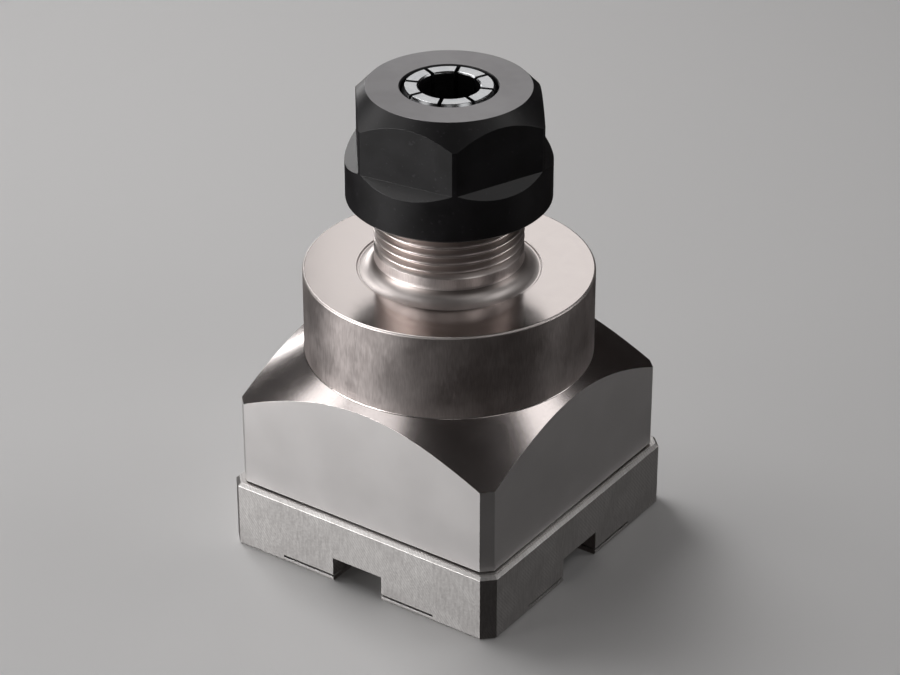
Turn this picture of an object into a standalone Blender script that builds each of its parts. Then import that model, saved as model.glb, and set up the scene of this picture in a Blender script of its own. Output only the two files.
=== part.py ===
"""Collet chuck on a square reference plate, modelled at its real size.

It stands on the underside of its plate at z = 0, with the axis of the collet on Z. A 10 mm shank
goes into the collet from above, and the clamping nut draws the collet down into the taper of the
nose. Unscrewed, the nut lifts the collet out again with the lip that lies in the collet's groove.
"""

import math

import bmesh
import bpy
from mathutils import Matrix

MM = 0.001

# Fits and resolution
FACETS = 36
SMALL_FACETS = 16
SEAT_GAP = 0.3 * MM
SLIP_GAP = 0.15 * MM
OVERSHOOT = 1.0 * MM
MERGE_DISTANCE = 0.001 * MM
SHARP_ANGLE = math.radians(30.0)

# Reference plate
PLATE_HALF = 27.0 * MM
PLATE_HEIGHT = 12.2 * MM
PLATE_CORNER = 2.0 * MM
PLATE_EDGE = 0.5 * MM
PLATE_FOOT_EDGE = 0.3 * MM
NOTCH_HALF_WIDTH = 5.0 * MM
NOTCH_HEIGHT = 4.6 * MM
NOTCH_DEPTH = 10.0 * MM
SPRING_LIP_THICKNESS = 0.8 * MM
SPRING_LIP_DEPTH = 8.0 * MM
SLIT_HEIGHT = 0.4 * MM
SLIT_END_WEB = 0.5 * MM
STUD_BORE_RADIUS = 5.1 * MM
STUD_SEAT_RADIUS = 9.0 * MM
STUD_SEAT_DEPTH = 2.6 * MM

# Screws that hold the plate to the chuck body
SCREW_INSET = 6.5 * MM
SCREW_RADIUS = 2.5 * MM
SCREW_LENGTH = 16.0 * MM
SCREW_HOLE_SPARE = 1.5 * MM
SCREW_HEAD_RADIUS = 4.25 * MM
SCREW_HEAD_HEIGHT = 5.0 * MM
SCREW_HEAD_RECESS = 0.5 * MM
SCREW_HEAD_EDGE = 0.4 * MM
SOCKET_HALF_FLATS = 2.0 * MM
SOCKET_DEPTH = 2.5 * MM
CLEARANCE_HOLE_GAP = 0.25 * MM

# Dowels that locate the plate on the chuck body, each further in than the screw of its corner
DOWEL_STEP = 7.5 * MM
DOWEL_RADIUS = 2.5 * MM
DOWEL_LENGTH = 12.0 * MM
DOWEL_EDGE = 0.4 * MM

# Square block and round disc of the chuck body
BLOCK_STEP = 1.17 * MM
BLOCK_CORNER = 1.75 * MM
BLOCK_EDGE = 0.2 * MM
BLOCK_SIDE_HEIGHT = 21.8 * MM
CROWN_ANGLE = math.radians(34.7)
DISC_STEP = 1.38 * MM
DISC_HEIGHT = 15.14 * MM
DISC_EDGE = 0.4 * MM

# Threaded nose of the chuck body
NOSE_LENGTH = 25.8 * MM
NOSE_WALL = 2.0 * MM
NECK_FILLET = 2.8 * MM
NECK_UNDERCUT = 0.12 * MM
NECK_HEIGHT = 4.0 * MM
THREAD_PITCH = 1.5 * MM
THREAD_DEPTH = 0.92 * MM
HALF_FLANK_ANGLE = math.radians(30.0)
THREAD_TIP_WIDTH = 0.19 * MM
THREAD_FADE = 0.25
FIRST_CREST = 5.53 * MM
THROUGH_BORE_RADIUS = 6.5 * MM
TAPER_SPARE = 0.9 * MM
NOSE_EDGE = 0.4 * MM
FILLET_STEPS = 4

# Collet
COLLET_LENGTH = 31.5 * MM
COLLET_RADIUS = 10.5 * MM
COLLET_BORE_RADIUS = 5.0 * MM
COLLET_FACE_RADIUS = 7.19 * MM
COLLET_TAPER = math.radians(8.0)
COLLET_FRONT_ANGLE = math.radians(30.0)
COLLET_CAP_LENGTH = 3.56 * MM
COLLET_EDGE = 0.25 * MM
COLLET_STANDOUT = 0.84 * MM
GROOVE_WIDTH = 2.8 * MM
GROOVE_DEPTH = 0.65 * MM
RELIEF_LENGTH = 8.5 * MM
RELIEF_STEP = 0.5 * MM
SLOT_COUNT = 8
SLOT_WIDTH = 0.6 * MM
FRONT_SLOT_WEB = 5.0 * MM
REAR_SLOT_WEB = 7.5 * MM
SLOT_ANGLE = math.radians(22.2)

# Clamping nut
NUT_HEIGHT = 19.8 * MM
NUT_WALL = 4.6 * MM
NUT_FACE_DROP = 0.1 * MM
NUT_BEVEL_WIDTH = 3.5 * MM
NUT_BEVEL_HEIGHT = 3.74 * MM
NUT_EDGE = 0.4 * MM
NUT_OPENING_GAP = 0.84 * MM
NUT_THREAD_GAP = 0.2 * MM
NUT_THREAD_LEAD = 0.5 * MM
FLAT_DEPTH = 2.1 * MM
FLAT_HEIGHT = 11.4 * MM
FLAT_RUNOUT_ANGLE = math.radians(36.0)
HEX_ANGLE = math.radians(7.8)
HOOK_OFFSET = 0.3 * MM
HOOK_GAP = 0.275 * MM

# Turns by which the nut can be tightened from rest
TIGHTEN_TURNS = 1.0

# Sizes that follow from those above
BLOCK_HALF = PLATE_HALF - BLOCK_STEP
DISC_RADIUS = BLOCK_HALF - DISC_STEP
THREAD_RADIUS = COLLET_RADIUS + NOSE_WALL
THREAD_ROOT_RADIUS = THREAD_RADIUS - THREAD_DEPTH
NUT_RADIUS = THREAD_RADIUS + NUT_WALL
SCREW_PLACE = PLATE_HALF - SCREW_INSET
DOWEL_PLACE = SCREW_PLACE - DOWEL_STEP
COUNTERBORE_RADIUS = SCREW_HEAD_RADIUS + CLEARANCE_HOLE_GAP
CAP_RADIUS = COLLET_FACE_RADIUS + COLLET_CAP_LENGTH * math.tan(COLLET_FRONT_ANGLE)
GROOVE_RADIUS = CAP_RADIUS - GROOVE_DEPTH
TIGHTEN_TRAVEL = TIGHTEN_TURNS * THREAD_PITCH

# Heights, from the underside of the plate
BODY_BOTTOM = PLATE_HEIGHT + SEAT_GAP
BLOCK_SIDE_TOP = BODY_BOTTOM + BLOCK_SIDE_HEIGHT
DISC_BOTTOM = BLOCK_SIDE_TOP + DISC_STEP * math.tan(CROWN_ANGLE)
DISC_TOP = DISC_BOTTOM + DISC_HEIGHT
NOSE_END = DISC_TOP + NOSE_LENGTH
COLLET_SHOULDER = NOSE_END + COLLET_STANDOUT
COLLET_FACE = COLLET_SHOULDER + GROOVE_WIDTH + COLLET_CAP_LENGTH
COLLET_BACK = COLLET_FACE - COLLET_LENGTH
NUT_FACE = COLLET_FACE - NUT_FACE_DROP
NUT_BOTTOM = NUT_FACE - NUT_HEIGHT


def clear_scene():
    """Removes what the file starts with."""
    for obj in list(bpy.data.objects):
        bpy.data.objects.remove(obj, do_unlink=True)


def material(name, colour, roughness, metallic=1.0):
    """A plain metal finish."""
    made = bpy.data.materials.new(name)
    made.use_nodes = True
    shader = made.node_tree.nodes["Principled BSDF"]
    shader.inputs["Base Color"].default_value = (*colour, 1.0)
    shader.inputs["Roughness"].default_value = roughness
    shader.inputs["Metallic"].default_value = metallic
    return made


def add_empty(name, height=0.0, parent=None):
    """An empty on the chuck's axis, as the frame of what moves together."""
    empty = bpy.data.objects.new(name, None)
    empty.location.z = height - (parent.matrix_world.translation.z if parent else 0.0)
    empty.parent = parent
    bpy.context.scene.collection.objects.link(empty)
    bpy.context.view_layer.update()
    return empty


def add_object(name, bm):
    """The finished bmesh as an object in the scene, closed and facing out."""
    bmesh.ops.recalc_face_normals(bm, faces=bm.faces)
    mesh = bpy.data.meshes.new(name)
    bm.to_mesh(mesh)
    bm.free()
    obj = bpy.data.objects.new(name, mesh)
    bpy.context.scene.collection.objects.link(obj)
    return obj


def turned(name, outline, facets=FACETS, threads=None):
    """A solid turned about Z from an outline of (radius, height) points.

    Where threads is given, it returns the outline of each step round the axis.
    """
    bm = bmesh.new()
    columns = []
    for step in range(facets + 1):
        angle = 2 * math.pi * step / facets
        points = threads(step) if threads else outline
        columns.append([bm.verts.new((r * math.cos(angle), r * math.sin(angle), z)) for r, z in points])
    for near, far in zip(columns, columns[1:]):
        ends = near[1:] + near[:1] if min(outline)[0] > 0 else near[1:]
        far_ends = far[1:] + far[:1]
        for corner, far_corner, end, far_end in zip(near, far, ends, far_ends):
            bm.faces.new((corner, far_corner, far_end, end))
    bmesh.ops.remove_doubles(bm, verts=bm.verts, dist=MERGE_DISTANCE)
    return add_object(name, bm)


def lofted(name, rings):
    """A solid through rings of equal numbers of points, closed at its first and last ring."""
    bm = bmesh.new()
    rows = [[bm.verts.new(point) for point in ring] for ring in rings]
    for low, high in zip(rows, rows[1:]):
        for i, corner in enumerate(low):
            j = (i + 1) % len(low)
            bm.faces.new((corner, low[j], high[j], high[i]))
    bm.faces.new(rows[0])
    bm.faces.new(rows[-1])
    return add_object(name, bm)


def polygon(sides, half_flats, height, corner_angle):
    """The corners of a regular polygon that is twice half_flats wide across its flats."""
    radius = half_flats / math.cos(math.pi / sides)
    angles = [corner_angle + 2 * math.pi * i / sides for i in range(sides)]
    return [(radius * math.cos(a), radius * math.sin(a), height) for a in angles]


def square(half, corner, height, inset=0.0):
    """The corners of a square with its corners cut off, pulled in all round by the inset."""
    side = half - inset
    leg = corner - (2 - math.sqrt(2)) * inset
    near = side - leg
    quarter = [(side, -near), (side, near)]
    points = []
    for _ in range(4):
        points += [(x, y, height) for x, y in quarter]
        quarter = [(-y, x) for x, y in quarter]
    return points


def drill(name, radius, bottom, top, facets=SMALL_FACETS, at=(0.0, 0.0)):
    """A round cutter, upright at a place."""
    tool = turned(name, [(0, top), (radius, top), (radius, bottom), (0, bottom)], facets)
    tool.location = (*at, 0.0)
    return tool


def slab(name, low, high, turn=0.0):
    """A box from its low to its high corner, turned about Z."""
    size = [b - a for a, b in zip(low, high)]
    centre = [(a + b) / 2 for a, b in zip(low, high)]
    bm = bmesh.new()
    place = Matrix.Rotation(turn, 4, "Z") @ Matrix.Translation(centre) @ Matrix.Diagonal((*size, 1.0))
    bmesh.ops.create_cube(bm, size=1.0, matrix=place)
    return add_object(name, bm)


def combine(obj, tools, operation="DIFFERENCE"):
    """Cuts, joins or keeps what is common with each tool, and hides the tools."""
    for tool in tools:
        step = obj.modifiers.new(tool.name, "BOOLEAN")
        step.operation = operation
        step.solver = "EXACT"
        step.object = tool
        tool.hide_render = True
        tool.display_type = "WIRE"


def finish(obj, look, parent):
    """Gives a piece its material, its smooth shading and its place in the assembly."""
    obj.data.materials.append(look)
    obj.data.shade_smooth()
    obj.data.set_sharp_from_angle(angle=SHARP_ANGLE)
    shading = obj.modifiers.new("Shading", "WEIGHTED_NORMAL")
    shading.keep_sharp = True
    bpy.context.view_layer.update()
    place = obj.matrix_world.copy()
    obj.parent = parent
    obj.matrix_parent_inverse = parent.matrix_world.inverted()
    obj.matrix_world = place
    return obj


def thread_outline(step, ends, root_radius, tip_radius, tip_width, crest):
    """The (radius, height) points of a right-hand thread at one step round it, from bottom to top.

    The ridge rises out of its root at both ends. It points in where its tip is nearer to the axis.
    """
    bottom, top = ends
    slope = math.tan(HALF_FLANK_ANGLE)
    depth = abs(tip_radius - root_radius)
    root_half = tip_width / 2 + depth * slope
    first = crest - THREAD_PITCH * math.ceil((crest + root_half - bottom) / THREAD_PITCH)
    points = []
    for ridge in range(math.ceil((top - bottom) / THREAD_PITCH) + 2):
        height = first + THREAD_PITCH * (ridge + step / FACETS)
        spare = min(height - bottom, top - height) - root_half
        share = max(0.0, min(1.0, spare / (THREAD_FADE * THREAD_PITCH)))
        radius = root_radius + (tip_radius - root_radius) * share
        half = root_half - depth * share * slope
        section = ((root_radius, -root_half), (radius, -half), (radius, half), (root_radius, root_half))
        points += [(r, max(bottom, min(top, height + dz))) for r, dz in section]
    return points


def collet_radius_at(height):
    """Radius of the collet's long taper at a height."""
    return COLLET_RADIUS - (COLLET_SHOULDER - height) * math.tan(COLLET_TAPER)


def corner_places(place):
    """The four corners of a square round the axis."""
    return [(place, place), (-place, place), (-place, -place), (place, -place)]


def make_reference_plate(look, parent):
    """The square plate: a notch between two spring lips in each side, and bores for what fastens it."""
    plate = lofted(
        "reference_plate",
        [
            square(PLATE_HALF, PLATE_CORNER, 0.0, PLATE_FOOT_EDGE),
            square(PLATE_HALF, PLATE_CORNER, PLATE_FOOT_EDGE),
            square(PLATE_HALF, PLATE_CORNER, PLATE_HEIGHT - PLATE_EDGE),
            square(PLATE_HALF, PLATE_CORNER, PLATE_HEIGHT, PLATE_EDGE),
        ],
    )
    outside = PLATE_HALF + OVERSHOOT
    slit_half = SCREW_PLACE - COUNTERBORE_RADIUS - SLIT_END_WEB
    slit_top = SPRING_LIP_THICKNESS + SLIT_HEIGHT
    tools = []
    for i in range(4):
        turn = math.pi / 2 * i
        notch_low = (PLATE_HALF - NOTCH_DEPTH, -NOTCH_HALF_WIDTH, -OVERSHOOT)
        slit_low = (PLATE_HALF - SPRING_LIP_DEPTH, -slit_half, SPRING_LIP_THICKNESS)
        tools.append(slab(f"notch_cut_{i + 1}", notch_low, (outside, NOTCH_HALF_WIDTH, NOTCH_HEIGHT), turn))
        tools.append(slab(f"slit_cut_{i + 1}", slit_low, (outside, slit_half, slit_top), turn))
    seat = SCREW_HEAD_RECESS + SCREW_HEAD_HEIGHT + SEAT_GAP
    above = PLATE_HEIGHT + OVERSHOOT
    for i, place in enumerate(corner_places(SCREW_PLACE), 1):
        hole_radius = SCREW_RADIUS + CLEARANCE_HOLE_GAP
        outline = [
            (0, above),
            (hole_radius, above),
            (hole_radius, seat),
            (COUNTERBORE_RADIUS, seat),
            (COUNTERBORE_RADIUS, -OVERSHOOT),
            (0, -OVERSHOOT),
        ]
        counterbore = turned(f"counterbore_cut_{i}", outline, SMALL_FACETS)
        counterbore.location = (*place, 0.0)
        tools.append(counterbore)
    for i, place in enumerate(corner_places(DOWEL_PLACE)[1::2], 1):
        hole_radius = DOWEL_RADIUS + SLIP_GAP
        tools.append(drill(f"plate_dowel_cut_{i}", hole_radius, -OVERSHOOT, above, at=place))
    tools.append(
        turned(
            "stud_bore_cut",
            [
                (0, above),
                (STUD_BORE_RADIUS, above),
                (STUD_BORE_RADIUS, STUD_SEAT_DEPTH),
                (STUD_SEAT_RADIUS, STUD_SEAT_DEPTH),
                (STUD_SEAT_RADIUS, -OVERSHOOT),
                (0, -OVERSHOOT),
            ],
        )
    )
    combine(plate, tools)
    return finish(plate, look, parent)


def make_plate_screw(index, place, look, parent):
    """A socket head screw, put in from below, with its head inside the plate."""
    head_low = SCREW_HEAD_RECESS
    head_top = head_low + SCREW_HEAD_HEIGHT
    tip = head_top + SCREW_LENGTH
    outline = [
        (0, tip),
        (SCREW_RADIUS - SCREW_HEAD_EDGE, tip),
        (SCREW_RADIUS, tip - SCREW_HEAD_EDGE),
        (SCREW_RADIUS, head_top),
        (SCREW_HEAD_RADIUS, head_top),
        (SCREW_HEAD_RADIUS, head_low + SCREW_HEAD_EDGE),
        (SCREW_HEAD_RADIUS - SCREW_HEAD_EDGE, head_low),
        (0, head_low),
    ]
    screw = turned(f"plate_screw_{index}", outline, SMALL_FACETS)
    ends = (head_low - OVERSHOOT, head_low + SOCKET_DEPTH)
    socket = lofted(f"socket_cut_{index}", [polygon(6, SOCKET_HALF_FLATS, z, 0.0) for z in ends])
    combine(screw, [socket])
    for piece in (screw, socket):
        piece.location = (*place, 0.0)
    return finish(screw, look, parent)


def make_plate_dowel(index, place, look, parent):
    """A dowel, half in the plate and half in the chuck body."""
    middle = (PLATE_HEIGHT + BODY_BOTTOM) / 2
    top = middle + DOWEL_LENGTH / 2
    bottom = middle - DOWEL_LENGTH / 2
    outline = [
        (0, top),
        (DOWEL_RADIUS - DOWEL_EDGE, top),
        (DOWEL_RADIUS, top - DOWEL_EDGE),
        (DOWEL_RADIUS, bottom + DOWEL_EDGE),
        (DOWEL_RADIUS - DOWEL_EDGE, bottom),
        (0, bottom),
    ]
    dowel = turned(f"plate_dowel_{index}", outline, SMALL_FACETS)
    dowel.location = (*place, 0.0)
    return finish(dowel, look, parent)


def chuck_body_outline(step=0):
    """The turned outline of the chuck body at one step round its thread, from nose to foot."""
    neck_top = DISC_TOP + NECK_HEIGHT
    thread_ends = (neck_top + THREAD_DEPTH, NOSE_END - NOSE_EDGE)
    thread = thread_outline(
        step, thread_ends, THREAD_ROOT_RADIUS, THREAD_RADIUS, THREAD_TIP_WIDTH, DISC_TOP + FIRST_CREST
    )
    fillet = []
    for i in range(FILLET_STEPS + 1):
        angle = math.pi / 2 * i / FILLET_STEPS
        radius = THREAD_RADIUS + NECK_FILLET * (1 - math.cos(angle))
        height = DISC_TOP - NECK_UNDERCUT + NECK_FILLET * (1 - math.sin(angle))
        fillet.append((radius, height))
    crown_reach = 2 * BLOCK_HALF
    return [
        (0, NOSE_END),
        (THREAD_ROOT_RADIUS - NOSE_EDGE, NOSE_END),
        (THREAD_ROOT_RADIUS, thread_ends[1]),
        *reversed(thread),
        (THREAD_ROOT_RADIUS, thread_ends[0]),
        (THREAD_RADIUS, neck_top),
        *fillet,
        (fillet[-1][0] + NECK_UNDERCUT, DISC_TOP),
        (DISC_RADIUS - DISC_EDGE, DISC_TOP),
        (DISC_RADIUS, DISC_TOP - DISC_EDGE),
        (DISC_RADIUS, DISC_BOTTOM),
        (crown_reach, BLOCK_SIDE_TOP - (crown_reach - BLOCK_HALF) * math.tan(CROWN_ANGLE)),
        (crown_reach, BODY_BOTTOM - OVERSHOOT),
        (0, BODY_BOTTOM - OVERSHOOT),
    ]


def make_chuck_body(look, parent):
    """One turned piece: square block, round disc, filleted neck and threaded nose with the taper in it."""
    body = turned("chuck_body", chuck_body_outline(), threads=chuck_body_outline)
    block = lofted(
        "square_block",
        [
            square(BLOCK_HALF, BLOCK_CORNER, BODY_BOTTOM, BLOCK_EDGE),
            square(BLOCK_HALF, BLOCK_CORNER, BODY_BOTTOM + BLOCK_EDGE),
            square(BLOCK_HALF, BLOCK_CORNER, NOSE_END + OVERSHOOT),
        ],
    )
    combine(body, [block], "INTERSECT")
    taper_gap = (SLIP_GAP + TIGHTEN_TRAVEL * math.sin(COLLET_TAPER)) / math.cos(COLLET_TAPER)
    taper_bottom = COLLET_BACK - TIGHTEN_TRAVEL - TAPER_SPARE
    taper_top = NOSE_END + OVERSHOOT
    bore = turned(
        "taper_bore_cut",
        [
            (0, taper_top),
            (collet_radius_at(taper_top) + taper_gap, taper_top),
            (collet_radius_at(taper_bottom) + taper_gap, taper_bottom),
            (THROUGH_BORE_RADIUS, taper_bottom),
            (THROUGH_BORE_RADIUS, BODY_BOTTOM - OVERSHOOT),
            (0, BODY_BOTTOM - OVERSHOOT),
        ],
    )
    tools = [bore]
    below = BODY_BOTTOM - OVERSHOOT
    screw_tip = SCREW_HEAD_RECESS + SCREW_HEAD_HEIGHT + SCREW_LENGTH
    for i, place in enumerate(corner_places(SCREW_PLACE), 1):
        hole_top = screw_tip + SCREW_HOLE_SPARE
        tools.append(drill(f"tapped_hole_cut_{i}", SCREW_RADIUS + SLIP_GAP, below, hole_top, at=place))
    dowel_top = (PLATE_HEIGHT + BODY_BOTTOM + DOWEL_LENGTH) / 2
    for i, place in enumerate(corner_places(DOWEL_PLACE)[1::2], 1):
        hole_top = dowel_top + SEAT_GAP
        tools.append(drill(f"body_dowel_cut_{i}", DOWEL_RADIUS + SLIP_GAP, below, hole_top, at=place))
    combine(body, tools)
    return finish(body, look, parent)


def make_collet(look, parent):
    """The spring collet, slit from both ends in turn, with its origin in the middle of its face."""
    back_radius = collet_radius_at(COLLET_BACK)
    shoulder = COLLET_SHOULDER - COLLET_FACE
    relief_radius = COLLET_BORE_RADIUS + RELIEF_STEP
    relief_top = RELIEF_LENGTH - COLLET_LENGTH
    outline = [
        (COLLET_BORE_RADIUS + COLLET_EDGE, 0),
        (COLLET_FACE_RADIUS, 0),
        (CAP_RADIUS, -COLLET_CAP_LENGTH),
        (GROOVE_RADIUS, -COLLET_CAP_LENGTH),
        (GROOVE_RADIUS, shoulder),
        (COLLET_RADIUS - COLLET_EDGE, shoulder),
        (collet_radius_at(COLLET_SHOULDER - COLLET_EDGE), shoulder - COLLET_EDGE),
        (back_radius + COLLET_EDGE * math.tan(COLLET_TAPER), COLLET_EDGE - COLLET_LENGTH),
        (back_radius - COLLET_EDGE, -COLLET_LENGTH),
        (relief_radius, -COLLET_LENGTH),
        (relief_radius, relief_top),
        (COLLET_BORE_RADIUS, relief_top + RELIEF_STEP),
        (COLLET_BORE_RADIUS, -COLLET_EDGE),
    ]
    collet = turned("collet", outline)
    reach = COLLET_RADIUS + OVERSHOOT
    inner = COLLET_BORE_RADIUS / 2
    half = SLOT_WIDTH / 2
    tools = []
    for i in range(SLOT_COUNT):
        front_turn = SLOT_ANGLE + 2 * math.pi * i / SLOT_COUNT
        rear_turn = front_turn + math.pi / SLOT_COUNT
        front_low = (inner, -half, FRONT_SLOT_WEB - COLLET_LENGTH)
        rear_low = (inner, -half, -COLLET_LENGTH - OVERSHOOT)
        tools.append(slab(f"front_slot_cut_{i + 1}", front_low, (reach, half, OVERSHOOT), front_turn))
        tools.append(slab(f"rear_slot_cut_{i + 1}", rear_low, (reach, half, -REAR_SLOT_WEB), rear_turn))
    combine(collet, tools)
    for piece in (collet, *tools):
        piece.location.z = COLLET_FACE
    return finish(collet, look, parent)


def clamping_nut_outline(step=0):
    """The turned outline of the nut at one step round its thread, from its front opening outwards."""
    cone_slope = math.tan(COLLET_FRONT_ANGLE)
    cone_gap = SEAT_GAP / math.cos(COLLET_FRONT_ANGLE)
    opening = COLLET_FACE_RADIUS + NUT_OPENING_GAP
    cone_top = COLLET_FACE - NUT_BOTTOM - (NUT_OPENING_GAP - cone_gap) / cone_slope
    hook_top = hook_height()
    roof = NOSE_END + TIGHTEN_TRAVEL + SEAT_GAP - NUT_BOTTOM
    root_radius = THREAD_RADIUS + NUT_THREAD_GAP
    tip_radius = THREAD_ROOT_RADIUS + NUT_THREAD_GAP
    flank_gap = SLIP_GAP / math.cos(HALF_FLANK_ANGLE)
    tip_room = THREAD_PITCH - THREAD_TIP_WIDTH - 2 * flank_gap
    tip_width = tip_room - 2 * (THREAD_RADIUS - tip_radius) * math.tan(HALF_FLANK_ANGLE)
    groove_middle = DISC_TOP + FIRST_CREST + THREAD_PITCH / 2 - NUT_BOTTOM
    thread_ends = (NUT_THREAD_LEAD, NOSE_END - NUT_BOTTOM)
    return [
        (opening, NUT_HEIGHT),
        (NUT_RADIUS - NUT_BEVEL_WIDTH, NUT_HEIGHT),
        (NUT_RADIUS, NUT_HEIGHT - NUT_BEVEL_HEIGHT),
        (NUT_RADIUS, NUT_EDGE),
        (NUT_RADIUS - NUT_EDGE, 0),
        (root_radius + NUT_THREAD_LEAD, 0),
        (root_radius, NUT_THREAD_LEAD),
        *thread_outline(step, thread_ends, root_radius, tip_radius, tip_width, groove_middle),
        (root_radius, roof),
        (GROOVE_RADIUS, roof),
        (GROOVE_RADIUS, hook_top),
        (opening + (cone_top - hook_top) * cone_slope, hook_top),
        (opening, cone_top),
    ]


def hook_height():
    """Top of the nut's hook above the nut's lower face, under the collet's cap."""
    return COLLET_FACE - NUT_BOTTOM - COLLET_CAP_LENGTH - SEAT_GAP


def make_clamping_nut(look, parent):
    """The hexagon nut, with its origin in the middle of its lower face.

    Its front cone presses on the collet's, and its eccentric hook lies in the collet's groove.
    """
    nut = turned("clamping_nut", clamping_nut_outline(), threads=clamping_nut_outline)
    flat_half = NUT_RADIUS - FLAT_DEPTH
    flat_low = NUT_HEIGHT - FLAT_HEIGHT
    flare = flat_half + (flat_low + OVERSHOOT) / math.tan(FLAT_RUNOUT_ANGLE)
    hexagon = lofted(
        "hexagon",
        [
            polygon(6, flare, -OVERSHOOT, HEX_ANGLE),
            polygon(6, flat_half, flat_low, HEX_ANGLE),
            polygon(6, flat_half, NUT_HEIGHT + OVERSHOOT, HEX_ANGLE),
        ],
    )
    combine(nut, [hexagon], "INTERSECT")
    hook_radius = GROOVE_RADIUS + HOOK_GAP + HOOK_OFFSET
    hook_low = NOSE_END - NUT_BOTTOM
    hook_cut = drill("hook_cut", hook_radius, hook_low, hook_height() + SEAT_GAP, FACETS)
    hook_cut.location.x = HOOK_OFFSET
    combine(nut, [hook_cut])
    for piece in (nut, hexagon, hook_cut):
        piece.location.z = NUT_BOTTOM
    return finish(nut, look, parent)


def build():
    """The whole chuck: what is fixed, the collet that slides in it, and the nut that turns on both."""
    clear_scene()
    ground_steel = material("ground_steel", (0.60, 0.60, 0.60), 0.32)
    turned_steel = material("turned_steel", (0.58, 0.56, 0.54), 0.25)
    screw_steel = material("screw_steel", (0.05, 0.05, 0.055), 0.45)
    dowel_steel = material("dowel_steel", (0.62, 0.62, 0.62), 0.2)
    collet_steel = material("collet_steel", (0.78, 0.79, 0.80), 0.22)
    black_oxide = material("black_oxide", (0.025, 0.024, 0.024), 0.38)
    chuck = add_empty("chuck_frame")
    draw = add_empty("collet_draw", NOSE_END, chuck)
    turn = add_empty("nut_turn", NUT_BOTTOM, draw)
    make_reference_plate(ground_steel, chuck)
    for i, place in enumerate(corner_places(SCREW_PLACE), 1):
        make_plate_screw(i, place, screw_steel, chuck)
    for i, place in enumerate(corner_places(DOWEL_PLACE)[1::2], 1):
        make_plate_dowel(i, place, dowel_steel, chuck)
    make_chuck_body(turned_steel, chuck)
    make_collet(collet_steel, draw)
    make_clamping_nut(black_oxide, turn)


build()
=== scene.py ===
# %% [markdown]
# # A collet chuck in brushed and blackened steel
#
# A collet chuck holds a round shank in a machine. A square plate sits underneath, a steel body rises
# from it as a block, a disc and a threaded nose, and a black nut clamps a slit collet in the nose.
#
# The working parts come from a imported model, which is loaded first and stays as it is. It is made of
# flat facets, so its round pieces look faceted close up. This lesson models each piece again with
# many more faces and soft edges, at the same sizes and places, and gives each its metal.

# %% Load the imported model
import math

import bpy
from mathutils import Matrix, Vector


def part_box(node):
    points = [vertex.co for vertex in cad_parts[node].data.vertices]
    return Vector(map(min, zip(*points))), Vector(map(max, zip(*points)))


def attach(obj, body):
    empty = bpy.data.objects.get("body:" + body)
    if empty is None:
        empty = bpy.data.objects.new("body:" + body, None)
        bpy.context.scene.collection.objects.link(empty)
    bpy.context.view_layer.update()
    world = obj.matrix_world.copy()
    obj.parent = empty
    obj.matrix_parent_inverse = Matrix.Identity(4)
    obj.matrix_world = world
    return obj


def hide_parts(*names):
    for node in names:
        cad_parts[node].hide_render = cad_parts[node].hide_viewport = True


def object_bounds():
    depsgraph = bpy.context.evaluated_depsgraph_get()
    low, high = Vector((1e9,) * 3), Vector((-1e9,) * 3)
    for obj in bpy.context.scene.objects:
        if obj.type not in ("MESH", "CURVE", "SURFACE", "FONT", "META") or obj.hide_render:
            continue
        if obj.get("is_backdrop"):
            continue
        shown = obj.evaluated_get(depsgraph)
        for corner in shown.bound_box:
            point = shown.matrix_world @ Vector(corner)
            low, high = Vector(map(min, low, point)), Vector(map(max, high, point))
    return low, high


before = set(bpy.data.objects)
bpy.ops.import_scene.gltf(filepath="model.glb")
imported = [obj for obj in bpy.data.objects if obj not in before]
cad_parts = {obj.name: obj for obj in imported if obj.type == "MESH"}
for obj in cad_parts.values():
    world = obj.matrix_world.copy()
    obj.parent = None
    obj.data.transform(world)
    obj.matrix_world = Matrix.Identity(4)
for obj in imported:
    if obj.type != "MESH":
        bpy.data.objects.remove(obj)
cad_low, cad_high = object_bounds()

# %% [markdown]
# ## Sizes
#
# Blender works in metres here, so a millimetre gets a short name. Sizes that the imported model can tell
# are measured on it: the box round a node gives its width and its lowest and highest points. The rest
# are the sizes that the pieces were designed with.

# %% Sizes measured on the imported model
MM = 0.001

_, plate_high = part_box("reference_plate")
body_low, body_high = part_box("chuck_body")
nut_low, nut_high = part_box("clamping_nut")
collet_low, collet_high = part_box("collet")

PLATE_HALF = plate_high.x
PLATE_TOP = plate_high.z
BLOCK_HALF = body_high.x
BODY_BOTTOM = body_low.z
NOSE_END = body_high.z
NUT_BOTTOM = nut_low.z
NUT_FACE = nut_high.z
NUT_RADIUS = nut_high.x
COLLET_BACK = collet_low.z
COLLET_FACE = collet_high.z
COLLET_RADIUS = collet_high.x
print("box in mm:", [round(size / MM, 2) for size in cad_high - cad_low])

# %% Sizes that the pieces were designed with
NOSE_LENGTH = 25.8 * MM
DISC_LENGTH = 15.14 * MM
DISC_RADIUS = 24.45 * MM
DISC_TOP = NOSE_END - NOSE_LENGTH
DISC_BOTTOM = DISC_TOP - DISC_LENGTH
CROWN_ANGLE = math.radians(34.7)
THREAD_RADIUS = 12.5 * MM
THREAD_ROOT = 11.58 * MM
THREAD_PITCH = 1.5 * MM
THREAD_TIP_WIDTH = 0.19 * MM
FIRST_CREST = DISC_TOP + 5.53 * MM
NECK_TOP = DISC_TOP + 4.0 * MM
COLLET_TAPER = math.radians(8.0)
COLLET_SHOULDER = NOSE_END + 0.84 * MM
COLLET_BORE = 5.0 * MM
CAP_ANGLE = math.radians(30.0)
CAP_FACE_RADIUS = 7.19 * MM
CAP_LENGTH = 3.56 * MM
SLOT_ANGLE = math.radians(22.2)
HEX_ANGLE = math.radians(7.8)
SCREW_PLACE = PLATE_HALF - 6.5 * MM
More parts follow.
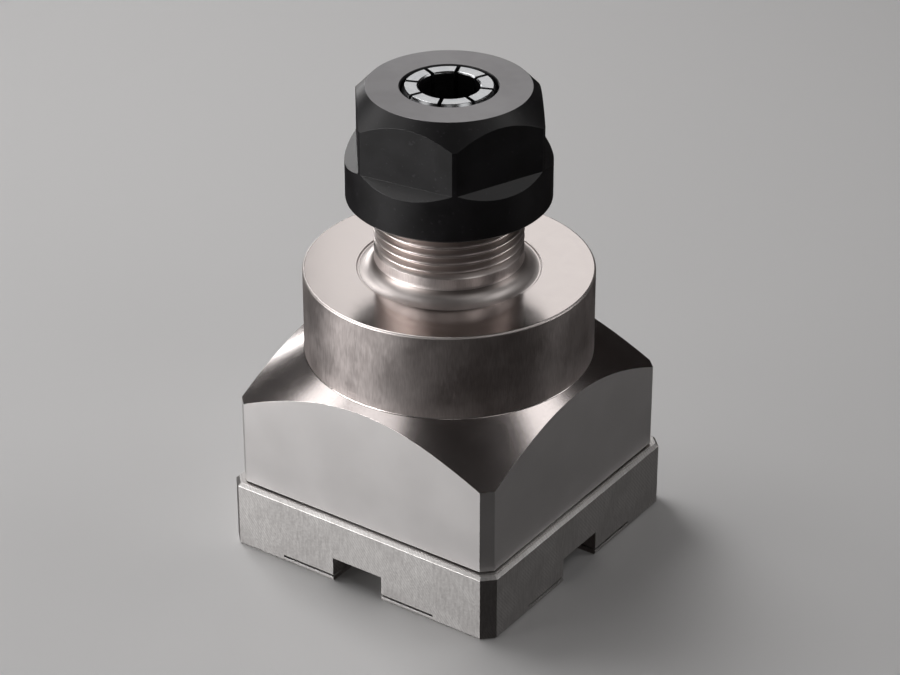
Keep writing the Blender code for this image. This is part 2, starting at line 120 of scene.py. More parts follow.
DOWEL_PLACE = SCREW_PLACE - 7.5 * MM
ROUND = 192
SMALL_ROUND = 64
print("disc from", round(DISC_BOTTOM / MM, 2), "to", round(DISC_TOP / MM, 2), "mm")

# %% [markdown]
# ## Camera
#
# The camera comes first, because every choice after it is judged through it. A long lens from half a
# metre away keeps the chuck's upright edges almost parallel, as in a product photograph. It looks down
# by 30 degrees onto the front corner of the block. How far it turns round the chuck and how high it is
# lifted place it, and the lights are placed in the same way later.


# %% Directions round the chuck
def direction(turn, lift):
    """The way out from the chuck, turned round it from its front and lifted, both in degrees."""
    sideways, upwards = math.radians(turn), math.radians(lift)
    level = math.cos(upwards)
    return Vector((math.sin(sideways) * level, -math.cos(sideways) * level, math.sin(upwards)))


def facing_back(way):
    """The rotation of a camera or a light that looks back along its way out."""
    return way.to_track_quat("Z", "Y").to_euler()


# %% Camera
CAMERA_TURN = 34.97
CAMERA_LIFT = 30.0
CAMERA_DISTANCE = 517 * MM
LOOK_AT = Vector((0.115, 0.08, 36.42)) * MM
LENS = 122.6
FILM_WIDTH = 36.0

away = direction(CAMERA_TURN, CAMERA_LIFT)
bpy.ops.object.select_all(action="DESELECT")
bpy.ops.object.camera_add(location=LOOK_AT + away * CAMERA_DISTANCE, rotation=facing_back(away))
camera = bpy.context.object
camera.name = "photo_camera"
camera.data.lens = LENS
camera.data.sensor_width = FILM_WIDTH
camera.data.clip_start = 10 * MM
bpy.context.scene.camera = camera
print("camera at", [round(place / MM) for place in camera.location], "mm")

# %% [markdown]
# ## Helpers for modelling
#
# The same few moves shape every piece, so each becomes a short function. Blender's operators act on
# whatever is selected, so a function first clears the selection, and picks faces or edges by where they
# are. Turned work starts as a filled circle. Its face is extruded and scaled once for each corner of
# the outline, which is what a lathe does with a bar.

# %% Start a new piece, and pick parts of it
TINY = MM / 10000


def start_piece(name):
    """Names the primitive that was just added and puts its place into its mesh."""
    piece = bpy.context.object
    piece.name = name
    piece.data.name = name
    bpy.ops.object.transform_apply(location=True, rotation=True, scale=True)
    return piece


def deselect_objects():
    """Leaves object mode's selection empty."""
    bpy.ops.object.select_all(action="DESELECT")


def take_up(piece):
    """Makes a piece the only one selected and the active one."""
    deselect_objects()
    piece.select_set(True)
    bpy.context.view_layer.objects.active = piece


def pick(piece, parts, wanted):
    """Selects the faces or edges whose corners pass a test, and leaves edit mode open."""
    take_up(piece)
    mesh = piece.data
    for group in (mesh.vertices, mesh.edges, mesh.polygons):
        group.foreach_set("select", [False] * len(group))
    for part in getattr(mesh, parts):
        part.select = wanted([mesh.vertices[i].co for i in part.vertices])
    bpy.ops.object.mode_set(mode="EDIT")
    bpy.ops.mesh.select_mode(type="FACE" if parts == "polygons" else "EDGE")


def open_edit():
    """Opens edit mode with everything selected."""
    bpy.ops.object.mode_set(mode="EDIT")
    bpy.ops.mesh.select_all(action="SELECT")


def leave_edit():
    """Back to object mode."""
    bpy.ops.object.mode_set(mode="OBJECT")


def face_outwards():
    """Points all faces outwards and goes back to object mode."""
    bpy.ops.mesh.select_all(action="SELECT")
    bpy.ops.mesh.normals_make_consistent(inside=False)
    leave_edit()


# %% Turn a piece from its outline
def turn_solid(name, outline, segments=ROUND):
    """A closed turned solid on the Z axis from (radius, height) corners, from its first cap to its last."""
    radius, height = outline[0]
    deselect_objects()
    bpy.ops.mesh.primitive_circle_add(vertices=segments, radius=radius, fill_type="NGON",
                                      location=(0, 0, height))
    piece = start_piece(name)
    open_edit()
    for (near_radius, near_height), (far_radius, far_height) in zip(outline, outline[1:]):
        step = (0, 0, far_height - near_height)
        bpy.ops.mesh.extrude_region_move(TRANSFORM_OT_translate={"value": step})
        grow = far_radius / near_radius
        bpy.ops.transform.resize(value=(grow, grow, 1.0), center_override=(0, 0, 0))
    face_outwards()
    return piece


def arc(centre, radius, start, end, steps):
    """The (radius, height) points of an arc, with its angles in degrees from the outward direction."""
    points = []
    for step in range(steps + 1):
        angle = math.radians(start + (end - start) * step / steps)
        points.append((centre[0] + radius * math.cos(angle), centre[1] + radius * math.sin(angle)))
    return points


# %% Boxes and copies
def add_box(name, low, high, turn=0.0):
    """A box from its low to its high corner, turned about Z."""
    deselect_objects()
    middle = (Vector(low) + Vector(high)) / 2
    bpy.ops.mesh.primitive_cube_add(size=1.0, location=middle)
    piece = bpy.context.object
    piece.scale = Vector(high) - Vector(low)
    start_piece(name)
    piece.rotation_euler.z = turn
    bpy.ops.object.transform_apply(rotation=True)
    return piece


def copies_at(piece, places):
    """Copies of a piece at (x, y) places, each with its own mesh. The piece itself is used up."""
    copies = []
    for number, place in enumerate(places, 1):
        copy = piece.copy()
        copy.data = piece.data.copy()
        copy.name = copy.data.name = f"{piece.name}_{number}"
        bpy.context.collection.objects.link(copy)
        take_up(copy)
        bpy.ops.transform.translate(value=(*place, 0))
        bpy.ops.object.transform_apply(location=True)
        copies.append(copy)
    bpy.data.objects.remove(piece)
    return copies


def join_pieces(pieces):
    """Joins pieces that don't touch into one object, the first one."""
    deselect_objects()
    for piece in pieces:
        piece.select_set(True)
    bpy.context.view_layer.objects.active = pieces[0]
    bpy.ops.object.join()
    return pieces[0]


# %% Cuts and soft edges
def work_with(piece, tool, operation):
    """Cuts the tool out of a piece, or joins it to it, or keeps what both share. The tool is used up."""
    take_up(piece)
    step = piece.modifiers.new(operation, "BOOLEAN")
    step.operation = operation
    step.solver = "EXACT"
    step.object = tool
    bpy.ops.object.modifier_apply(modifier=step.name)
    bpy.data.objects.remove(tool)


def slice_off(piece, point, direction_out):
    """Cuts away what lies beyond a plane and closes the cut."""
    take_up(piece)
    open_edit()
    bpy.ops.mesh.bisect(plane_co=point, plane_no=direction_out, use_fill=True, clear_outer=True,
                        threshold=TINY)
    leave_edit()


def mill_four(piece, reach, first=0.0):
    """Cuts four upright flats at one distance from the axis. The first turn is given in quarters."""
    for quarter in range(4):
        angle = (quarter + first) * math.pi / 2
        side = Vector((math.cos(angle), math.sin(angle), 0))
        slice_off(piece, side * reach, side)


def soften_edges(piece, width, segments=2, angle=28.0):
    """Rounds every edge that is sharper than an angle in degrees."""
    take_up(piece)
    bevel = piece.modifiers.new("Soft edges", "BEVEL")
    bevel.width = width
    bevel.segments = segments
    bevel.limit_method = "ANGLE"
    bevel.angle_limit = math.radians(angle)
    bevel.miter_outer = "MITER_ARC"
    bpy.ops.object.modifier_apply(modifier=bevel.name)


# %% Finish a piece
SMOOTH_ANGLE = math.radians(30)


def finish_piece(piece, body, node):
    """Shades a piece, hands it to the body that it moves with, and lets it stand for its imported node."""
    take_up(piece)
    open_edit()
    bpy.ops.mesh.remove_doubles(threshold=TINY)
    face_outwards()
    bpy.ops.object.shade_smooth_by_angle(angle=SMOOTH_ANGLE)
    shading = piece.modifiers.new("Shading", "WEIGHTED_NORMAL")
    shading.keep_sharp = True
    bpy.ops.object.modifier_apply(modifier=shading.name)
    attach(piece, body)
    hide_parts(node)
    triangles = sum(len(face.vertices) - 2 for face in piece.data.polygons)
    print(f"{piece.name}: {triangles} triangles")


# %% [markdown]
# ## A thread
#
# A screw thread is one small profile carried round a cylinder while it climbs. The Screw modifier does
# just that. The profile starts as a plane merged to a single point, which is extruded corner by corner,
# and its corners get a small radius. The climb leaves ragged ends, so a long thread is made and its
# ends are sliced flat.

# %% Threaded rod
FLANK_ANGLE = math.radians(30)
CORNER_SHARE = 0.05


def threaded_rod(name, root, crest, pitch, tip_width, crest_height, bottom, top, steps=128):
    """A right-hand threaded rod between two heights, with a crest at crest_height on the +X side."""
    flank = (crest - root) * math.tan(FLANK_ANGLE)
    first = crest_height - pitch * math.ceil((crest_height - bottom) / pitch + 1)
    turns = math.ceil((top - first) / pitch) + 2
    corners = [(root, -pitch / 2), (root, -tip_width / 2 - flank), (crest, -tip_width / 2),
               (crest, tip_width / 2), (root, tip_width / 2 + flank), (root, pitch / 2)]
    deselect_objects()
    bpy.ops.mesh.primitive_plane_add(size=pitch, location=(root, 0, first - pitch / 2))
    rod = start_piece(name)
    bpy.ops.object.mode_set(mode="EDIT")
    bpy.ops.mesh.select_mode(type="VERT")
    bpy.ops.mesh.select_all(action="SELECT")
    bpy.ops.mesh.merge(type="CENTER")
    for near, far in zip(corners, corners[1:]):
        step = (far[0] - near[0], 0, far[1] - near[1])
        bpy.ops.mesh.extrude_vertices_move(TRANSFORM_OT_translate={"value": step})
    bpy.ops.mesh.select_all(action="SELECT")
    bpy.ops.mesh.bevel(offset=CORNER_SHARE * pitch, segments=2, affect="VERTICES")
    leave_edit()
    climb = rod.modifiers.new("Climb", "SCREW")
    climb.screw_offset = pitch
    climb.iterations = turns
    climb.steps = climb.render_steps = steps
    bpy.ops.object.modifier_apply(modifier=climb.name)
    open_edit()
    bpy.ops.mesh.remove_doubles(threshold=TINY)
    face_outwards()
    slice_off(rod, (0, 0, bottom), (0, 0, -1))
    slice_off(rod, (0, 0, top), (0, 0, 1))
    return rod


# %% [markdown]
# ## Chuck body
#
# On the real chuck this is one bar of steel. It is turned first, with its nose, neck, disc and conical
# crown, and its four sides and four corners are milled off afterwards, which is why the crown ends in
# an arch on each side. The model is made in the same order: a turned solid, then eight flat cuts.

# %% Turn the body
NECK_FILLET = 2.8 * MM
NECK_UNDERCUT = 0.22 * MM
NECK_LIP = 0.2 * MM
DISC_EDGE = 0.4 * MM
CROWN_FILLET = 0.3 * MM
CORE_RADIUS = THREAD_ROOT - 0.3 * MM
CROWN_REACH = 1.5 * BLOCK_HALF


def crown_height(radius):
    """Height of the crown's cone at a radius."""
    return DISC_BOTTOM - (radius - DISC_RADIUS) * math.tan(CROWN_ANGLE)


thread_start = NECK_TOP + THREAD_RADIUS - THREAD_ROOT
fillet_middle = (THREAD_RADIUS + NECK_FILLET, DISC_TOP - NECK_UNDERCUT + NECK_FILLET)
half_corner = (math.pi / 2 + CROWN_ANGLE) / 2
crown_run = CROWN_FILLET / math.tan(half_corner)
crown_middle = (DISC_RADIUS + CROWN_FILLET, DISC_BOTTOM + crown_run)
body_outline = [
    (CORE_RADIUS, thread_start),
    (THREAD_ROOT, thread_start),
    (THREAD_RADIUS, NECK_TOP),
    *arc(fillet_middle, NECK_FILLET, 180, 270, 16),
    *arc((fillet_middle[0] + NECK_LIP, DISC_TOP - NECK_LIP), NECK_LIP, 180, 90, 5),
    *arc((DISC_RADIUS - DISC_EDGE, DISC_TOP - DISC_EDGE), DISC_EDGE, 90, 0, 7),
    *arc(crown_middle, CROWN_FILLET, 180, 270 - math.degrees(CROWN_ANGLE), 5),
    (CROWN_REACH, crown_height(CROWN_REACH)),
    (CROWN_REACH, BODY_BOTTOM),
]
chuck_body = turn_solid("steel_body", body_outline)
print("body turned:", len(chuck_body.data.polygons), "faces")

# %% Mill the four sides and the four corners
BLOCK_CORNER = 1.75 * MM
BODY_SOFTNESS = 0.09 * MM
mill_four(chuck_body, BLOCK_HALF)
mill_four(chuck_body, (2 * BLOCK_HALF - BLOCK_CORNER) / math.sqrt(2), first=0.5)
soften_edges(chuck_body, BODY_SOFTNESS)
print("body milled:", len(chuck_body.data.polygons), "faces")

# %% [markdown]
# The thread is cut on the nose. The rod is a little longer than the nose at its lower end, and an
# envelope trims it: a chamfer at the top lets the nut start easily, and the slope at the bottom is the
# run-out of the thread. Then the rod is joined to the body, and the bore and its taper are cut through
# both at once.

# %% Thread on the nose
ROD_BOTTOM = NECK_TOP - 0.6 * MM
RUNOUT_LOW = NECK_TOP - 0.2 * MM
RUNOUT_HIGH = NECK_TOP + 0.9 * MM
START_LENGTH = 1.57 * MM
START_RADIUS = THREAD_ROOT - 0.45 * MM
INSIDE_ROOT = THREAD_ROOT - 0.1 * MM
OUTSIDE_CRESTS = THREAD_RADIUS + 0.2 * MM
nose_thread = threaded_rod("nose_thread", THREAD_ROOT, THREAD_RADIUS, THREAD_PITCH, THREAD_TIP_WIDTH,
                           FIRST_CREST, ROD_BOTTOM, NOSE_END)
envelope = turn_solid("nose_envelope", [
    (START_RADIUS, NOSE_END),
    (OUTSIDE_CRESTS, NOSE_END - START_LENGTH),
    (OUTSIDE_CRESTS, RUNOUT_HIGH),
    (INSIDE_ROOT, RUNOUT_LOW),
    (INSIDE_ROOT, ROD_BOTTOM),
])
work_with(nose_thread, envelope, "INTERSECT")
work_with(chuck_body, nose_thread, "UNION")
print("body with its thread:", len(chuck_body.data.polygons), "faces")

# %% A cutter for holes
OVERSHOOT = 0.5 * MM


def hole_cutter(name, corners, mouth, edge, segments=SMALL_ROUND):
    """A turned cutter that leaves the metal downwards at a height, with a 45 degree edge at the mouth."""
    radius = corners[-1][0]
    ending = [(radius, mouth + edge), (radius + edge + OVERSHOOT, mouth - OVERSHOOT)]
    return turn_solid(name, [*corners, *ending], segments)


# %% Bore and taper
TAPER_GAP = 0.3623 * MM
THROUGH_BORE = 6.5 * MM
BORE_EDGE = 0.15 * MM
TAPER_BOTTOM = COLLET_BACK - 2.4 * MM


def taper_radius(height):
    """Radius of the collet's long taper at a height."""
    return COLLET_RADIUS - (COLLET_SHOULDER - height) * math.tan(COLLET_TAPER)


nose_mouth = taper_radius(NOSE_END) + TAPER_GAP
bore = hole_cutter("body_bore", [
    (nose_mouth + BORE_EDGE + OVERSHOOT, NOSE_END + OVERSHOOT),
    (nose_mouth - BORE_EDGE * math.tan(COLLET_TAPER), NOSE_END - BORE_EDGE),
    (taper_radius(TAPER_BOTTOM) + TAPER_GAP, TAPER_BOTTOM),
    (THROUGH_BORE, TAPER_BOTTOM),
], BODY_BOTTOM, BORE_EDGE, ROUND)
work_with(chuck_body, bore, "DIFFERENCE")
print("bore mouth:", round(2 * nose_mouth / MM, 2), "mm across")

# %% Holes for the plate's screws and dowels
SCREW_PLACES = [(SCREW_PLACE, SCREW_PLACE), (-SCREW_PLACE, SCREW_PLACE),
                (-SCREW_PLACE, -SCREW_PLACE), (SCREW_PLACE, -SCREW_PLACE)]
DOWEL_PLACES = [(-DOWEL_PLACE, DOWEL_PLACE), (DOWEL_PLACE, -DOWEL_PLACE)]
HOLE_RADIUS = 2.65 * MM
SCREW_HOLE_TOP = 23.0 * MM
SCREW_HOLE_EDGE = 0.3 * MM
DOWEL_HOLE_TOP = 18.65 * MM
DOWEL_HOLE_EDGE = 0.2 * MM
screw_hole = hole_cutter("screw_hole", [(HOLE_RADIUS, SCREW_HOLE_TOP)], BODY_BOTTOM, SCREW_HOLE_EDGE)
dowel_hole = hole_cutter("dowel_hole", [(HOLE_RADIUS, DOWEL_HOLE_TOP)], BODY_BOTTOM, DOWEL_HOLE_EDGE)
holes = copies_at(screw_hole, SCREW_PLACES) + copies_at(dowel_hole, DOWEL_PLACES)
work_with(chuck_body, join_pieces(holes), "DIFFERENCE")
finish_piece(chuck_body, "chuck", "chuck_body")

# %% [markdown]
# ## Reference plate
#
# The plate is ground on all sides, because it locates the chuck in the machine. In the middle of each
# side is a notch, and a thin slit on either side of it sets a spring lip free. A box is sliced at its
# corners, its rims are bevelled, and then the notches, slits and bores are cut.

# %% Plate blank
PLATE_CORNER = 2.0 * MM
PLATE_EDGE = 0.5 * MM
PLATE_FOOT_EDGE = 0.3 * MM
plate = add_box("ground_plate", (-PLATE_HALF, -PLATE_HALF, 0), (PLATE_HALF, PLATE_HALF, PLATE_TOP))
mill_four(plate, (2 * PLATE_HALF - PLATE_CORNER) / math.sqrt(2), first=0.5)
for height, width in ((PLATE_TOP, PLATE_EDGE), (0.0, PLATE_FOOT_EDGE)):
    pick(plate, "edges", lambda ends: all(abs(end.z - height) < TINY for end in ends))
    bpy.ops.mesh.bevel(offset=width, segments=1, affect="EDGES")
    leave_edit()
print("plate blank:", len(plate.data.polygons), "faces")

# %% Notches and slits
NOTCH_HALF_WIDTH = 5.0 * MM
NOTCH_HEIGHT = 4.6 * MM
NOTCH_DEPTH = 10.0 * MM
LIP_THICKNESS = 0.8 * MM
LIP_DEPTH = 8.0 * MM
SLIT_HEIGHT = 0.4 * MM
SLIT_HALF = 15.5 * MM
OUTSIDE_PLATE = PLATE_HALF + MM
for quarter in range(4):
    turn = quarter * math.pi / 2
    notch = add_box("notch", (PLATE_HALF - NOTCH_DEPTH, -NOTCH_HALF_WIDTH, -MM),
                    (OUTSIDE_PLATE, NOTCH_HALF_WIDTH, NOTCH_HEIGHT), turn)
    work_with(plate, notch, "DIFFERENCE")
    slit = add_box("slit", (PLATE_HALF - LIP_DEPTH, -SLIT_HALF, LIP_THICKNESS),
                   (OUTSIDE_PLATE, SLIT_HALF, LIP_THICKNESS + SLIT_HEIGHT), turn)
    work_with(plate, slit, "DIFFERENCE")
print("plate notched:", len(plate.data.polygons), "faces")

# %% Bores of the plate
ABOVE_PLATE = PLATE_TOP + OVERSHOOT
SHANK_BORE = 2.75 * MM
SHANK_BORE_MOUTH = SHANK_BORE + 0.4 * MM
SHANK_BORE_EDGE = 0.1 * MM
HEAD_SEAT = 5.8 * MM
HEAD_BORE = 4.5 * MM
PLATE_HOLE_EDGE = 0.2 * MM
STUD_BORE = 5.1 * MM
STUD_SEAT = 2.6 * MM
STUD_SEAT_RADIUS = 9.0 * MM
STUD_SEAT_EDGE = 0.25 * MM
counterbore = hole_cutter("counterbore", [
    (SHANK_BORE_MOUTH, ABOVE_PLATE),
    (SHANK_BORE, PLATE_TOP - SHANK_BORE_EDGE),
    (SHANK_BORE, HEAD_SEAT),
    (HEAD_BORE, HEAD_SEAT),
], 0.0, PLATE_HOLE_EDGE)
dowel_bore = hole_cutter("dowel_bore", [(HOLE_RADIUS, ABOVE_PLATE)], 0.0, PLATE_HOLE_EDGE)
bores = copies_at(counterbore, SCREW_PLACES) + copies_at(dowel_bore, DOWEL_PLACES)
bores.append(hole_cutter("stud_bore", [
    (STUD_BORE, ABOVE_PLATE),
    (STUD_BORE, STUD_SEAT),
    (STUD_SEAT_RADIUS, STUD_SEAT),
], 0.0, STUD_SEAT_EDGE, ROUND))
work_with(plate, join_pieces(bores), "DIFFERENCE")
PLATE_SOFTNESS = 0.05 * MM
soften_edges(plate, PLATE_SOFTNESS)
finish_piece(plate, "chuck", "reference_plate")

# %% [markdown]
# ## Screws and dowels
#
# Four socket head screws hold the plate from below, and two dowels locate it. They are seen only from
# underneath, in their bores. One screw and one dowel are modelled, and then copied to their places.

# %% Head of a plate screw
HEAD_LOW = 0.5 * MM
HEAD_TOP = 5.5 * MM
HEAD_RADIUS = 4.25 * MM
HEAD_EDGE = 0.4 * MM
SHANK_RADIUS = 2.5 * MM
PLAIN_RADIUS = SHANK_RADIUS - 0.02 * MM
PLAIN_TOP = HEAD_TOP + 3 * MM
SOCKET_HALF = 2.0 * MM
SOCKET_DEPTH = 2.5 * MM
SOCKET_FLARE = 1.25
screw = turn_solid("socket_screw", [
    (HEAD_RADIUS - HEAD_EDGE, HEAD_LOW),
    (HEAD_RADIUS, HEAD_LOW + HEAD_EDGE),
    (HEAD_RADIUS, HEAD_TOP),
    (PLAIN_RADIUS, HEAD_TOP),
    (PLAIN_RADIUS, PLAIN_TOP),
], SMALL_ROUND)
deselect_objects()
bpy.ops.mesh.primitive_cylinder_add(vertices=6, radius=SOCKET_HALF / math.cos(math.pi / 6),
                                    depth=SOCKET_DEPTH, location=(0, 0, HEAD_LOW + SOCKET_DEPTH / 2),
                                    rotation=(0, 0, math.pi / 6))
socket = start_piece("socket")
pick(socket, "polygons", lambda ends: all(end.z < HEAD_LOW + TINY for end in ends))
bpy.ops.mesh.extrude_region_move(TRANSFORM_OT_translate={"value": (0, 0, -OVERSHOOT)})
bpy.ops.transform.resize(value=(SOCKET_FLARE, SOCKET_FLARE, 1.0), center_override=(0, 0, 0))
leave_edit()
work_with(screw, socket, "DIFFERENCE")
SCREW_SOFTNESS = 0.06 * MM
soften_edges(screw, SCREW_SOFTNESS)
print("screw head:", len(screw.data.polygons), "faces")

# %% Threaded shank of a plate screw
SCREW_TIP = 21.5 * MM
SCREW_ROOT = 2.08 * MM
SCREW_CREST = SHANK_RADIUS - 0.01 * MM
SCREW_PITCH = 0.8 * MM
SCREW_TIP_WIDTH = 0.1 * MM
TIP_RADIUS = 1.9 * MM
TIP_LENGTH = 0.7 * MM
OUTSIDE_SHANK = SHANK_RADIUS + 0.1 * MM
SHANK_BOTTOM = HEAD_TOP + 2.5 * MM
shank = threaded_rod("shank", SCREW_ROOT, SCREW_CREST, SCREW_PITCH, SCREW_TIP_WIDTH, HEAD_TOP,
                     SHANK_BOTTOM, SCREW_TIP, steps=48)
tip_envelope = turn_solid("tip_envelope", [
    (TIP_RADIUS, SCREW_TIP),
    (OUTSIDE_SHANK, SCREW_TIP - TIP_LENGTH),
    (OUTSIDE_SHANK, SHANK_BOTTOM - 0.1 * MM),
], SMALL_ROUND)
work_with(shank, tip_envelope, "INTERSECT")
work_with(screw, shank, "UNION")
screws = copies_at(screw, SCREW_PLACES)
for number, piece in enumerate(screws, 1):
    finish_piece(piece, "chuck", f"plate_screw_{number}")

# %% Plate dowels
dowel_bottom, dowel_top = (corner.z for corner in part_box("plate_dowel_1"))
DOWEL_RADIUS = 2.5 * MM
DOWEL_EDGE = 0.4 * MM
DOWEL_SOFTNESS = 0.12 * MM
dowel = turn_solid("locating_dowel", [
    (DOWEL_RADIUS - DOWEL_EDGE, dowel_top),
    (DOWEL_RADIUS, dowel_top - DOWEL_EDGE),
    (DOWEL_RADIUS, dowel_bottom + DOWEL_EDGE),
    (DOWEL_RADIUS - DOWEL_EDGE, dowel_bottom),
], SMALL_ROUND)
soften_edges(dowel, DOWEL_SOFTNESS, segments=3)
dowels = copies_at(dowel, DOWEL_PLACES)
for number, piece in enumerate(dowels, 1):
    finish_piece(piece, "chuck", f"plate_dowel_{number}")

# %% [markdown]
# ## Collet
#
# The collet is a slim cone of spring steel with a bore, slit from the front and from the back in turn so
# that its sixteen strips can bend inwards. It is turned as a solid, bored, and then the slots are cut
# with thin blades that are all joined into one tool.

# %% Turn and bore the collet
COLLET_EDGE = 0.25 * MM
COLLET_SOFTNESS = 0.05 * MM
RELIEF_TOP = COLLET_BACK + 8.5 * MM
RELIEF_DEPTH = 0.5 * MM
cap_radius = CAP_FACE_RADIUS + CAP_LENGTH * math.tan(CAP_ANGLE)
cap_back = COLLET_FACE - CAP_LENGTH
GROOVE_RADIUS = cap_radius - 0.65 * MM
collet = turn_solid("slit_collet", [
    (CAP_FACE_RADIUS, COLLET_FACE),
    (cap_radius, cap_back),
    (GROOVE_RADIUS, cap_back),
    (GROOVE_RADIUS, COLLET_SHOULDER),
    (COLLET_RADIUS - COLLET_EDGE, COLLET_SHOULDER),
    (taper_radius(COLLET_SHOULDER - COLLET_EDGE), COLLET_SHOULDER - COLLET_EDGE),
    (taper_radius(COLLET_BACK + COLLET_EDGE), COLLET_BACK + COLLET_EDGE),
    (taper_radius(COLLET_BACK) - COLLET_EDGE, COLLET_BACK),
])
collet_bore = turn_solid("collet_bore", [
    (COLLET_BORE + COLLET_EDGE + OVERSHOOT, COLLET_FACE + OVERSHOOT),
    (COLLET_BORE, COLLET_FACE - COLLET_EDGE),
    (COLLET_BORE, RELIEF_TOP + RELIEF_DEPTH),
    (COLLET_BORE + RELIEF_DEPTH, RELIEF_TOP),
    (COLLET_BORE + RELIEF_DEPTH, COLLET_BACK - OVERSHOOT),
])
work_with(collet, collet_bore, "DIFFERENCE")
soften_edges(collet, COLLET_SOFTNESS)
print("collet bored:", len(collet.data.polygons), "faces")

# %% Slit the collet
SLOTS = 8
SLOT_HALF = 0.35 * MM
FRONT_SLOT_END = COLLET_BACK + 5 * MM
REAR_SLOT_END = COLLET_FACE - 7.5 * MM
inside_bore = COLLET_BORE / 2
outside_collet = COLLET_RADIUS + MM
blades = []
for i in range(SLOTS):
    front_turn = SLOT_ANGLE + i * 2 * math.pi / SLOTS
    rear_turn = front_turn + math.pi / SLOTS
    blades.append(add_box("front_blade", (inside_bore, -SLOT_HALF, FRONT_SLOT_END),
                          (outside_collet, SLOT_HALF, COLLET_FACE + MM), front_turn))
    blades.append(add_box("rear_blade", (inside_bore, -SLOT_HALF, COLLET_BACK - MM),
                          (outside_collet, SLOT_HALF, REAR_SLOT_END), rear_turn))
work_with(collet, join_pieces(blades), "DIFFERENCE")
finish_piece(collet, "spring_collet", "collet")

# %% [markdown]
# ## Clamping nut
#
# The nut is turned with a broad bevel on its front, and six flats are milled on its upper part. The
# mill's edge leaves a sloping run-out under each flat. A hexagonal prism that flares out below gives
# both in one cut. Inside are the thread, the eccentric hook that pulls the collet out, and the cone
# that presses it in.

# %% Turn the nut
NUT_BEVEL_WIDTH = 3.5 * MM
NUT_BEVEL_LENGTH = 3.74 * MM
NUT_FOOT_EDGE = 0.4 * MM
nut = turn_solid("hexagon_nut", [
    (NUT_RADIUS - NUT_BEVEL_WIDTH, NUT_FACE),
    (NUT_RADIUS, NUT_FACE - NUT_BEVEL_LENGTH),
    (NUT_RADIUS, NUT_BOTTOM + NUT_FOOT_EDGE),
    (NUT_RADIUS - NUT_FOOT_EDGE, NUT_BOTTOM),
])
print("nut turned:", len(nut.data.polygons), "faces")

# %% Mill the flats
FLAT_HALF = NUT_RADIUS - 2.1 * MM
FLAT_LOW = NUT_FACE - 11.4 * MM
RUNOUT_ANGLE = math.radians(36)
flare = 1 + (FLAT_LOW - NUT_BOTTOM + MM) / math.tan(RUNOUT_ANGLE) / FLAT_HALF
deselect_objects()
bpy.ops.mesh.primitive_circle_add(vertices=6, radius=FLAT_HALF / math.cos(math.pi / 6), fill_type="NGON",
                                  location=(0, 0, NUT_FACE + MM), rotation=(0, 0, HEX_ANGLE + math.pi / 6))
hexagon = start_piece("hexagon")
open_edit()
bpy.ops.mesh.extrude_region_move(TRANSFORM_OT_translate={"value": (0, 0, FLAT_LOW - NUT_FACE - MM)})
bpy.ops.mesh.extrude_region_move(TRANSFORM_OT_translate={"value": (0, 0, NUT_BOTTOM - MM - FLAT_LOW)})
bpy.ops.transform.resize(value=(flare, flare, 1.0), center_override=(0, 0, 0))
face_outwards()
print("hexagon corner at", [round(place / MM, 2) for place in hexagon.data.vertices[0].co], "mm")
work_with(nut, hexagon, "INTERSECT")

# %% Cone and roof inside the nut
OPENING = CAP_FACE_RADIUS + 0.84 * MM
OPENING_EDGE = 0.15 * MM
SEAT_GAP = 0.3 * MM
HOOK_TOP = cap_back - SEAT_GAP
HOOK_BORE = GROOVE_RADIUS - 0.1 * MM
ROOF = NOSE_END + 1.8 * MM
NUT_SOFTNESS = 0.06 * MM
cone_top = COLLET_FACE - (OPENING - CAP_FACE_RADIUS - SEAT_GAP / math.cos(CAP_ANGLE)) / math.tan(CAP_ANGLE)
cone_wide = OPENING + (cone_top - HOOK_TOP) * math.tan(CAP_ANGLE)
nut_cone = turn_solid("nut_cone", [
    (OPENING + OPENING_EDGE + OVERSHOOT, NUT_FACE + OVERSHOOT),
    (OPENING, NUT_FACE - OPENING_EDGE),
    (OPENING, cone_top),
    (cone_wide, HOOK_TOP),
    (HOOK_BORE, HOOK_TOP - 0.02 * MM),
    (HOOK_BORE, ROOF - OVERSHOOT),
])
work_with(nut, nut_cone, "DIFFERENCE")
soften_edges(nut, NUT_SOFTNESS)
print("nut with its cone:", len(nut.data.polygons), "faces")

# %% Thread inside the nut
NUT_THREAD_ROOT = THREAD_RADIUS + 0.2 * MM
NUT_THREAD_TIP = THREAD_ROOT + 0.2 * MM
TAP_TIP_WIDTH = 0.3054 * MM
INSIDE_TIP = NUT_THREAD_TIP - 0.1 * MM
RELIEF_LOW = NOSE_END - 0.9 * MM
RELIEF_SLOPE = 1.0 * MM
NUT_MOUTH_DEPTH = 1.1 * MM
NUT_MOUTH_FLARE = 1.0 * MM
tap = threaded_rod("tap", NUT_THREAD_TIP, NUT_THREAD_ROOT, THREAD_PITCH, TAP_TIP_WIDTH,
                   FIRST_CREST, NUT_BOTTOM - OVERSHOOT, NOSE_END)
relief = turn_solid("relief", [
    (NUT_THREAD_ROOT, ROOF),
    (NUT_THREAD_ROOT, RELIEF_LOW),
    (INSIDE_TIP, RELIEF_LOW - RELIEF_SLOPE),
    (INSIDE_TIP, NUT_BOTTOM + NUT_MOUTH_DEPTH),
    (NUT_THREAD_ROOT + NUT_MOUTH_FLARE, NUT_BOTTOM - OVERSHOOT),
])
work_with(tap, relief, "UNION")
work_with(nut, tap, "DIFFERENCE")
print("nut threaded:", len(nut.data.polygons), "faces")

